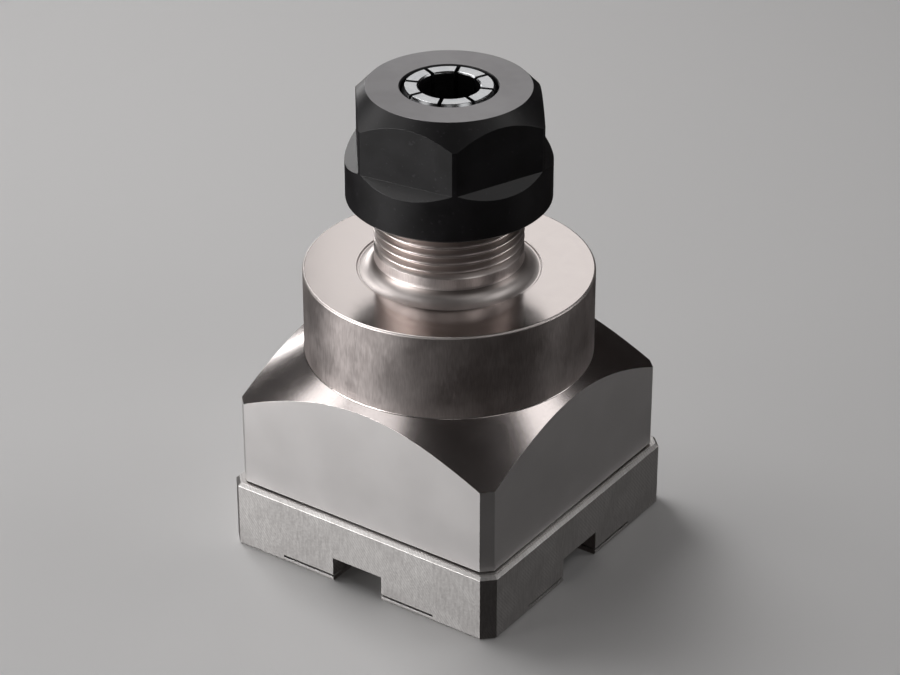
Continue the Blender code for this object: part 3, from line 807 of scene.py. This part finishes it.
# %% Eccentric hook of the nut
HOOK_OFFSET = 0.3 * MM
HOOK_RADIUS = GROOVE_RADIUS + 0.575 * MM
HOOK_CUT_TOP = HOOK_TOP + 0.3 * MM
HOOK_CUT_LOW = ROOF - 1.0 * MM
hook_cut = turn_solid("hook_cut", [(HOOK_RADIUS, HOOK_CUT_TOP), (HOOK_RADIUS, HOOK_CUT_LOW)])
hook_cut = copies_at(hook_cut, [(HOOK_OFFSET, 0)])[0]
work_with(nut, hook_cut, "DIFFERENCE")
finish_piece(nut, "nut", "clamping_nut")

# %% [markdown]
# ## Helpers for finishes
#
# A metal's look comes from its colour, from how rough it is, and from the fine marks that its last
# machining left. Those marks are patterns on the piece's own coordinates. Plain arithmetic on a pattern
# is easier to read than a row of Math nodes, so a small class lets a socket be used in sums, and each
# sum adds its node. All other nodes come from one method, which takes a node's type, its settings and
# its inputs.


# %% Signals
class Signal:
    """A value on its way through a material."""

    def __init__(self, finish, socket):
        self.finish = finish
        self.socket = socket

    def __add__(self, other):
        return self.finish.maths("ADD", self, other)

    __radd__ = __add__

    def __sub__(self, other):
        return self.finish.maths("SUBTRACT", self, other)

    def __rsub__(self, other):
        return self.finish.maths("SUBTRACT", other, self)

    def __mul__(self, other):
        return self.finish.maths("MULTIPLY", self, other)

    __rmul__ = __mul__

    def above(self, edge, softness):
        """0 below an edge and 1 above it, with a soft step between."""
        inputs = {"Value": self, "From Min": edge, "From Max": edge + softness}
        return self.finish.node("MapRange", {"interpolation_type": "SMOOTHSTEP"}, inputs)


# %% Finishes
class Finish:
    """A material whose nodes are added in plain words, with every length in millimetres."""

    def __init__(self, name):
        self.material = bpy.data.materials.new(name)
        self.material.use_nodes = True
        self.tree = self.material.node_tree
        self.shader = self.tree.nodes["Principled BSDF"]
        coordinates = self.node("TexCoord", output="Object")
        self.place = self.node("VectorMath", {"operation": "SCALE"}, {"Vector": coordinates, "Scale": 1 / MM})
        inputs = {"Vector": self.place}
        self.x, self.y, self.z = (self.node("SeparateXYZ", inputs=inputs, output=i) for i in range(3))
        self.radius = self.maths("SQRT", self.x * self.x + self.y * self.y)
        self.round_x = self.maths("DIVIDE", self.x, self.radius)
        self.round_y = self.maths("DIVIDE", self.y, self.radius)

    def node(self, kind, settings=None, inputs=None, output=0):
        """Adds a node, sets it up, gives its inputs values or links, and returns one of its outputs."""
        made = self.tree.nodes.new("ShaderNode" + kind)
        for name, value in (settings or {}).items():
            setattr(made, name, value)
        for name, value in (inputs or {}).items():
            if isinstance(value, Signal):
                self.tree.links.new(value.socket, made.inputs[name])
            else:
                made.inputs[name].default_value = value
        return Signal(self, made.outputs[output])

    def maths(self, operation, *values):
        """A Math node on one, two or three values."""
        return self.node("Math", {"operation": operation}, dict(enumerate(values)))

    def vector(self, x, y, z):
        """A vector from three values."""
        return self.node("CombineXYZ", inputs={0: x, 1: y, 2: z})

    def noise(self, place, scale, detail=2.0):
        """Random marks from 0 to 1, about 1 / scale millimetres wide."""
        return self.node("TexNoise", inputs={"Vector": place, "Scale": scale, "Detail": detail})

    def clouds(self, scale, detail=3.0):
        """Soft patches, with plain areas between them."""
        return self.noise(self.place, scale, detail).above(0.3, 0.4)

    def rings(self, along, wander=2.0, detail=3.0):
        """Lathe rings that change along a value and wander a little on their way round the axis."""
        marks = self.vector(along, self.round_x * wander, self.round_y * wander)
        return self.noise(marks, 1.0, detail)

    def mix(self, share, first, second):
        """A colour between two colours."""
        colours = {"Factor": share, 6: (*first, 1.0), 7: (*second, 1.0)}
        return self.node("Mix", {"data_type": "RGBA"}, colours, output=2)

    def bump(self, height, depth):
        """A normal from a height pattern from 0 to 1 that is depth millimetres deep."""
        return self.node("Bump", inputs={"Height": height, "Distance": depth * MM}, output="Normal")

    def surface(self, varying, constants):
        """Links what varies over the surface, sets what is the same all over, and returns the material."""
        for name, value in varying.items():
            self.tree.links.new(value.socket, self.shader.inputs[name])
        for name, value in constants.items():
            self.shader.inputs[name].default_value = value
        print(f"{self.material.name}: {len(self.tree.nodes)} nodes")
        return self.material


# %% [markdown]
# ## Turned steel
#
# The nose, the neck and the top of the disc were finished on the lathe. The tool leaves rings that are
# far too fine to count, but they stretch every highlight across them. The anisotropic setting does that
# stretching, and its direction runs round the piece's own axis. A little noise along the radius
# varies the rings, and soft clouds stand for where the surface was wiped.

# %% Turned steel
finish = Finish("turned_steel")
dull, bright = (0.58, 0.53, 0.51), (0.69, 0.635, 0.615)
rings = finish.rings((finish.radius + finish.z) * 7.0)
clouds = finish.clouds(0.16)
turned_steel = finish.surface(
    {
        "Base Color": finish.mix(clouds * 0.5 + rings * 0.5, dull, bright),
        "Roughness": 0.11 + rings * 0.08 + clouds * 0.05,
        "Normal": finish.bump(rings, 0.0012),
    },
    {"Metallic": 1.0, "Anisotropic": 0.15},
)

# %% [markdown]
# The round of the neck and the disc's rim were turned with a finer feed that left them more matt, so
# each of them shows one broad soft band of light. Below a height just above the disc, the round and the
# disc's rim are painted darker: painted shade for the corner under the collar.

# %% Satin turned steel
PAINTED_SHADE_LOW = DISC_TOP / MM + 0.4
PAINTED_SHADE_SOFTNESS = 1.2
finish = Finish("satin_turned_steel")
painted_shade_colour, bright = (0.22, 0.19, 0.178), (0.72, 0.67, 0.65)
rings = finish.rings((finish.radius + finish.z) * 5.0)
# painted shade: below this height the colour is mixed towards a dark tone
corner = finish.z.above(PAINTED_SHADE_LOW, PAINTED_SHADE_SOFTNESS)
satin_turned_steel = finish.surface(
    {
        "Base Color": finish.mix((1 - corner) * 0.8 + rings * 0.2, painted_shade_colour, bright),
        "Roughness": 0.38 + rings * 0.08,
        "Normal": finish.bump(rings, 0.002),
    },
    {"Metallic": 1.0},
)

# %% [markdown]
# The grooves of the thread are painted darker as painted shade, and its crests lighter as a painted
# highlight. The distance from the axis tells the one from the other.

# %% Thread steel
CREST_LOW = THREAD_RADIUS / MM - 0.3
CREST_SOFTNESS = 0.25
finish = Finish("thread_steel")
painted_shade_colour, bright = (0.42, 0.365, 0.345), (0.84, 0.775, 0.75)
rings = finish.rings(finish.z * 5.0, wander=3.0)
painted_highlight_crests = finish.radius.above(CREST_LOW, CREST_SOFTNESS)
thread_steel = finish.surface(
    {
        # painted shade in the grooves and a painted highlight on the crests
        "Base Color": finish.mix(painted_highlight_crests * 0.8 + rings * 0.2, painted_shade_colour, bright),
        "Roughness": 0.38 - painted_highlight_crests * 0.1 + rings * 0.08,
        "Normal": finish.bump(rings, 0.002),
    },
    {"Metallic": 1.0},
)

# %% [markdown]
# The disc's side and the collar of the neck were ground upright afterwards. Their streaks come from a
# noise that is squeezed round the axis and drawn out along it. The direction from the axis is used
# instead of the angle, because the angle jumps at one place and would leave a seam there.


# %% Streaked steel
def upright_streaks(finish, fineness, length, detail=2.0):
    """Streaks along Z on a turned side, given by how many there are to a millimetre and how long they are."""
    across = fineness * DISC_RADIUS / MM
    marks = finish.vector(finish.round_x * across, finish.round_y * across, finish.z * (1 / length))
    return finish.noise(marks, 1.0, detail).above(0.28, 0.44)


finish = Finish("streaked_steel")
dull, bright = (0.60, 0.54, 0.52), (0.80, 0.735, 0.715)
streaks = upright_streaks(finish, 4.4, 1.7)
broad_streaks = upright_streaks(finish, 1.0, 4.0)
clouds = finish.clouds(0.14)
streaked_steel = finish.surface(
    {
        "Base Color": finish.mix(streaks * 0.5 + broad_streaks * 0.2 + clouds * 0.3, dull, bright),
        "Roughness": 0.35 + streaks * 0.03 + clouds * 0.07,
        "Normal": finish.bump(streaks, 0.0012),
    },
    {"Metallic": 1.0, "Anisotropic": 0.2, "Anisotropic Rotation": 0.25},
)

# %% [markdown]
# The crown is ground finer than the sides. It mirrors the bright and dark parts of the studio as soft
# fans, and a fine grain with faint clouds keeps them from looking like polish. Its roughness stays
# below 0.27 all over: the picture's noise filter treats smoother and rougher metal differently, and
# where a finish crosses that value, small dark specks can show.

# %% Crown steel
finish = Finish("crown_steel")
dull, bright = (0.52, 0.47, 0.455), (0.76, 0.705, 0.69)
grain = finish.noise(finish.place, 2.2, 3.0)
patches = finish.noise(finish.place, 0.30, 3.0)
crown_steel = finish.surface(
    {
        "Base Color": finish.mix(patches * 0.4 + grain * 0.6, dull, bright),
        "Roughness": 0.19 + grain * 0.05 + patches * 0.03,
        "Normal": finish.bump(grain, 0.003),
    },
    {"Metallic": 1.0},
)

# %% [markdown]
# ## Ground steel
#
# The sides of the block and the whole plate are ground. Grinding leaves a satin, slightly cloudy
# surface. On the plate it also leaves upright streaks and patches of fine slanting lines.

# %% Ground steel
finish = Finish("ground_steel")
dull, bright = (0.65, 0.635, 0.63), (0.70, 0.685, 0.68)
grain = finish.noise(finish.place, 4.0, 3.0)
clouds = finish.clouds(0.11)
ground_steel = finish.surface(
    {
        "Base Color": finish.mix(clouds * 0.6 + grain * 0.4, dull, bright),
        "Roughness": 0.52 + clouds * 0.015 + grain * 0.04,
        "Normal": finish.bump(grain, 0.0015),
    },
    {"Metallic": 1.0},
)

# %% Plate steel
HATCH_SLANT = 0.8
HATCH_FINENESS = 10.0
finish = Finish("plate_steel")
dull, bright = (0.52, 0.505, 0.495), (0.76, 0.745, 0.73)
along = finish.x + finish.y
streaks = finish.noise(finish.vector(along * 2.2, finish.z * 0.4, 0.0), 1.0, 4.0).above(0.28, 0.44)
waves = finish.maths("SINE", (along + finish.z * HATCH_SLANT) * HATCH_FINENESS)
hatch = (waves * 0.5 + 0.5) * finish.noise(finish.place, 0.14, 1.0).above(0.42, 0.16)
grain = finish.clouds(2.6, 4.0)
plate_steel = finish.surface(
    {
        "Base Color": finish.mix(streaks * 0.4 + grain * 0.2 + hatch * 0.4, dull, bright),
        "Roughness": 0.40 + grain * 0.04,
        "Normal": finish.bump(streaks * 0.4 + hatch + grain * 0.15, 0.003),
    },
    {"Metallic": 1.0, "Anisotropic": 0.5, "Anisotropic Rotation": 0.25},
)

# %% [markdown]
# ## Bright spring steel and dowel steel
#
# The collet is ground bright all over, and its face shines with the light from behind the chuck. The
# dowels have the same look. The wall of the bore mirrors the dark studio and is painted near black as painted
# shade.

# %% Collet steel
finish = Finish("collet_steel")
dull, bright = (0.44, 0.455, 0.47), (0.52, 0.53, 0.54)
rings = finish.rings((finish.radius + finish.z) * 9.0, detail=2.0)
smudges = finish.clouds(0.8, 2.0)
collet_steel = finish.surface(
    {
        "Base Color": finish.mix(smudges, dull, bright),
        "Roughness": 0.17 + rings * 0.06 + smudges * 0.04,
        "Normal": finish.bump(rings, 0.0008),
    },
    {"Metallic": 1.0},
)

# %% Bore wall painted dark as shade
finish = Finish("bore_painted_shade")
bore_shade_dark, bore_shade_light = (0.05, 0.05, 0.052), (0.12, 0.118, 0.12)
rings = finish.rings(finish.z * 3.0)
bore_painted_shade = finish.surface(
    {
        # painted shade: the bore's wall is painted near black
        "Base Color": finish.mix(rings, bore_shade_dark, bore_shade_light),
        "Roughness": 0.30 + rings * 0.15,
        "Normal": finish.bump(rings, 0.001),
    },
    {"Metallic": 1.0},
)

# %% [markdown]
# ## Black oxide
#
# The nut is blackened in a hot salt bath. The layer is thin, so the metal's sheen stays, but hardly any
# colour is left. Only its front was ground again afterwards, which bared the grey steel. Fine dust and
# small pits break up the black.

# %% Black oxide
finish = Finish("black_oxide")
black, dusty = (0.0045, 0.0042, 0.0048), (0.022, 0.0205, 0.0235)
grain = finish.noise(finish.place, 3.5, 4.0)
dust = finish.noise(finish.place, 1.6, 5.0).above(0.64, 0.06)
clouds = finish.clouds(0.2, 2.0)
black_oxide = finish.surface(
    {
        "Base Color": finish.mix(clouds * 0.2 + dust * 0.8, black, dusty),
        "Roughness": 0.34 + clouds * 0.02 + grain * 0.07,
        "Normal": finish.bump(grain, 0.003),
    },
    {"Metallic": 0.0, "Specular IOR Level": 0.5},
)

# %% Ground face of the nut
finish = Finish("nut_face_steel")
dull, bright = (0.215, 0.21, 0.215), (0.255, 0.25, 0.255)
rings = finish.rings(finish.radius * 8.0, wander=3.0)
clouds = finish.clouds(0.2, 2.0)
nut_face_steel = finish.surface(
    {
        "Base Color": finish.mix(clouds, dull, bright),
        "Roughness": 0.27 + rings * 0.06 + clouds * 0.04,
        "Normal": finish.bump(rings, 0.0008),
    },
    {"Metallic": 1.0, "Anisotropic": 0.2},
)

# %% [markdown]
# ## Giving each face its finish
#
# Several pieces carry more than one finish. A face's middle and the way it points tell which finish
# it has: the Z of its normal is 0 on an upright face and 1 on a face that looks straight up. A tenth of
# a millimetre of slack keeps the soft edges with the faces that they belong to.


# %% Paint a piece
def paint(piece, choices):
    """Gives each face the first finish whose test it passes."""
    piece.data.materials.clear()
    for material, _ in choices:
        piece.data.materials.append(material)
    for face in piece.data.polygons:
        for number, (_, wanted) in enumerate(choices):
            if wanted(face.center, face.normal):
                face.material_index = number
                break


def anywhere(middle, normal):
    """Passes every face."""
    return True


# %% Tests for the faces
SLACK = 0.1 * MM
LIP_END = THREAD_RADIUS + NECK_FILLET + 0.5 * MM


def from_axis(middle):
    """How far a face's middle is from the chuck's axis."""
    return math.hypot(middle.x, middle.y)


def on_disc_side(middle, normal):
    """The disc's upright side and the plain collar of the neck."""
    radius = from_axis(middle)
    collar = abs(radius - THREAD_RADIUS) < SLACK
    side = radius > THREAD_RADIUS and middle.z < DISC_TOP - DISC_EDGE
    return (collar or side) and DISC_BOTTOM < middle.z < NECK_TOP and abs(normal.z) < 0.2


def on_thread(middle, normal):
    """The thread of the nose."""
    return middle.z > NECK_TOP - SLACK and from_axis(middle) > THREAD_ROOT - SLACK


def on_rounds(middle, normal):
    """The round at the foot of the neck with its lip, and the disc's rim."""
    radius = from_axis(middle)
    foot = DISC_TOP - MM < middle.z < NECK_TOP and THREAD_RADIUS < radius < LIP_END
    rim = radius > DISC_RADIUS - DISC_EDGE and middle.z > DISC_TOP - DISC_EDGE
    return (foot or rim) and normal.z < 0.99


def on_crown(middle, normal):
    """The crown's cone and the small radius above it."""
    return middle.z < DISC_BOTTOM + CROWN_FILLET + SLACK and 0.2 < normal.z < 0.95


def on_block(middle, normal):
    """The milled sides and corners, with the walls of the bores below the disc."""
    return middle.z < DISC_BOTTOM and abs(normal.z) < 0.3


def in_collet_bore(middle, normal):
    """The wall of the collet's bore."""
    return from_axis(middle) < COLLET_BORE + RELIEF_DEPTH + SLACK / 2 and abs(normal.z) < 0.5


def on_nut_face(middle, normal):
    """The nut's bright front."""
    return normal.z > 0.9 and middle.z > NUT_FACE - SLACK


# %% Paint the pieces
paint(chuck_body, [(streaked_steel, on_disc_side), (thread_steel, on_thread), (satin_turned_steel, on_rounds),
                   (crown_steel, on_crown), (ground_steel, on_block), (turned_steel, anywhere)])
paint(plate, [(plate_steel, anywhere)])
paint(collet, [(bore_painted_shade, in_collet_bore), (collet_steel, anywhere)])
paint(nut, [(nut_face_steel, on_nut_face), (black_oxide, anywhere)])
for piece in screws:
    paint(piece, [(black_oxide, anywhere)])
for piece in dowels:
    paint(piece, [(collet_steel, anywhere)])
pieces = [chuck_body, plate, collet, nut, *screws, *dowels]
print("painted:", ", ".join(piece.name for piece in pieces))

# %% [markdown]
# ## Floor
#
# The floor is plain and pale. In the photograph the chuck stands in a black studio, and its upright
# faces mirror that dark. A pale floor would shine up into every one of them and wash out the metal, so
# the floor is kept out of mirror reflections by the same switch that hides an object from one kind of
# ray. It still shows itself, takes the chuck's shadow and throws soft light up.

# %% Floor
FLOOR_SIDE = 6.0
deselect_objects()
bpy.ops.mesh.primitive_plane_add(size=FLOOR_SIDE, location=(0, 0, 0))
floor = start_piece("studio_floor")
finish = Finish("pale_floor")
floor_tone = finish.noise(finish.place, 0.004, 1.0)
pale_floor = finish.surface(
    {"Base Color": finish.mix(floor_tone, (0.72, 0.72, 0.72), (0.75, 0.75, 0.75))},
    {"Roughness": 0.65, "Specular IOR Level": 0.3},
)
floor.data.materials.append(pale_floor)
floor.visible_glossy = False
floor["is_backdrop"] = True
print("floor:", [round(side, 1) for side in floor.dimensions], "m")

# %% [markdown]
# ## Light
#
# Polished metal shows its surroundings more than itself, so every panel is placed for the face that
# mirrors it. A low panel at the front left lights the left faces, as in the photograph, and the right
# faces stay dark. Panels high and behind are mirrored in the faces that look up: the disc, the nut's
# front and the two bright fans on the crown. Each panel is given by the way it turns round the chuck,
# from the front, and by how high it stands. A panel that stands just above the floor would burn a white
# patch into it, so light linking keeps the low panels' light on the chuck alone.

# %% What the low panels shine on
LOW_LIFT = 10
chuck_pieces = bpy.data.collections.new("chuck_pieces")
for piece in pieces:
    chuck_pieces.objects.link(piece)

# %% Light panels
PANEL_DISTANCE = 550 * MM
PANEL_SIZE = 200 * MM
PANEL_TARGET = Vector((0, 0, 45 * MM))
NEUTRAL = (1.0, 0.985, 0.98)


def add_panel(name, turn, lift, power, width=PANEL_SIZE, height=PANEL_SIZE):
    """A soft light that faces the chuck and isn't seen itself. Its two angles are in degrees."""
    way = direction(turn, lift)
    place = PANEL_TARGET + way * PANEL_DISTANCE
    deselect_objects()
    bpy.ops.object.light_add(type="AREA", location=place, rotation=facing_back(way))
    panel = bpy.context.object
    panel.name = name
    panel.data.shape = "RECTANGLE"
    panel.data.size = width
    panel.data.size_y = height
    panel.data.energy = power
    panel.data.color = NEUTRAL
    panel.visible_camera = False
    if lift < LOW_LIFT:
        panel.light_linking.receiver_collection = chuck_pieces
    print(f"{name}: {power} W, {round(place.z / MM)} mm above the floor")


add_panel("front_left_strip", -36, 1.5, 2.6, width=400 * MM, height=100 * MM)
add_panel("front_panel", -8, 3, 0.22, height=100 * MM)
add_panel("front_left_panel", -30, 30, 0.12)
add_panel("front_right_panel", 35, 30, 0.05, width=120 * MM, height=120 * MM)
add_panel("left_low_panel", -76, 36, 0.26)
add_panel("left_high_panel", -60, 60, 0.27, width=300 * MM, height=220 * MM)
add_panel("top_left_panel", -105, 60, 1.08)
add_panel("back_left_low_panel", -125, 5, 0.35, height=100 * MM)
add_panel("back_left_panel", -120, 40, 0.185)
add_panel("back_panel", -150, 30, 0.14)
add_panel("back_right_panel", 130, 50, 0.212)
add_panel("right_high_panel", 75, 38, 0.14)
add_panel("right_panel", 122, 6, 0.37, height=160 * MM)

# %% Surroundings and view
SURROUNDINGS = {"Color": (1.0, 0.82, 0.78, 1.0), "Strength": 0.01}
world = bpy.data.worlds.new("studio")
world.use_nodes = True
for name, value in SURROUNDINGS.items():
    world.node_tree.nodes["Background"].inputs[name].default_value = value
bpy.context.scene.world = world
bpy.context.scene.view_settings.view_transform = "Standard"
print("view:", bpy.context.scene.view_settings.view_transform)

# %% [markdown]
# ## Sizes side by side
#
# The dressed chuck has to stay inside the imported model's box, so the differences between the two boxes are
# printed.

# %% Compare the boxes and finish
dressed_low, dressed_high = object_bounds()
ends = zip((*dressed_low, *dressed_high), (*cad_low, *cad_high))
print("difference in mm:", [round((dressed - packed) / MM, 3) for dressed, packed in ends])
